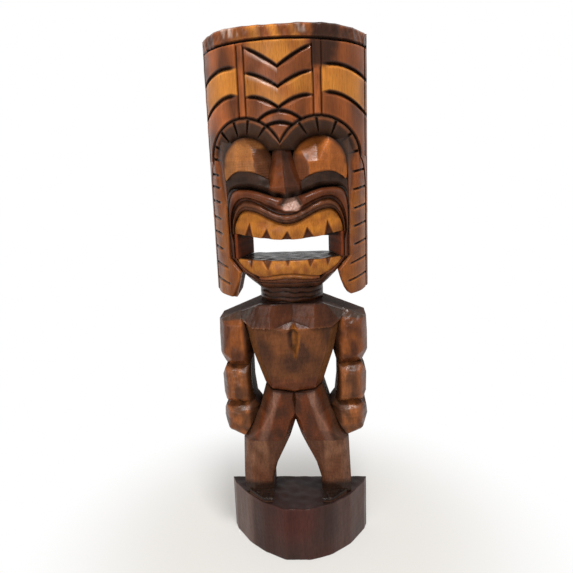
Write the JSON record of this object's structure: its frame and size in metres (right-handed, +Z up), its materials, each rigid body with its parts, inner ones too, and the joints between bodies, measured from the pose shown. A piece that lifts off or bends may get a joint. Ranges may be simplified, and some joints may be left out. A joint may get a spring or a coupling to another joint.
{
  "type": "carved tiki figure",
  "caption": "Half-log carved tiki figure with a tall grooved headdress, arched brows, an open toothed mouth, side lappets, faceted limbs and a D-shaped base.",
  "frame": {"origin": "on the underside of the base, midway across the width and the depth", "axes": "+Z up along the figure, the figure faces -Y, the flat sawn back faces +Y, +X is to the right of a person looking at its face"},
  "size_m": [0.152, 0.06, 0.508],
  "materials": {
    "wood_red_brown": "varnished, stained red-brown",
    "wood_orange": "varnished, light orange",
    "wood_dark": "varnished, burnt dark brown",
    "wood_maroon": "varnished, stained maroon",
    "wood_tan": "varnished, tan brown"
  },
  "bodies": {
    "root": {"base": "wood_maroon", "left_foot": "wood_red_brown", "right_foot": "wood_red_brown", "left_shin": "wood_tan", "right_shin": "wood_tan", "left_thigh": "wood_red_brown", "right_thigh": "wood_red_brown", "torso": "wood_red_brown", "left_upper_arm": "wood_tan", "right_upper_arm": "wood_tan", "left_forearm": "wood_tan", "right_forearm": "wood_tan", "left_hand": "wood_tan", "right_hand": "wood_tan", "neck": "wood_red_brown", "jaw": "wood_red_brown", "chin": "wood_red_brown", "lower_lip": "wood_tan", "lower_teeth": "wood_orange", "left_cheek": "wood_red_brown", "right_cheek": "wood_red_brown", "upper_teeth": "wood_orange", "inner_lip": "wood_red_brown", "outer_lip": "wood_red_brown", "skull": "wood_red_brown", "nose": "wood_red_brown", "left_eye": "wood_orange", "right_eye": "wood_orange", "left_lower_lid": "wood_dark", "right_lower_lid": "wood_dark", "left_brow_band": "wood_dark", "right_brow_band": "wood_dark", "left_lappet": "wood_tan", "right_lappet": "wood_tan", "left_panel": "wood_orange", "left_rib": "wood_tan", "center_panel": "wood_orange", "right_rib": "wood_tan", "right_panel": "wood_orange", "crown_rim": "wood_red_brown"}
  },
  "joints": []
}
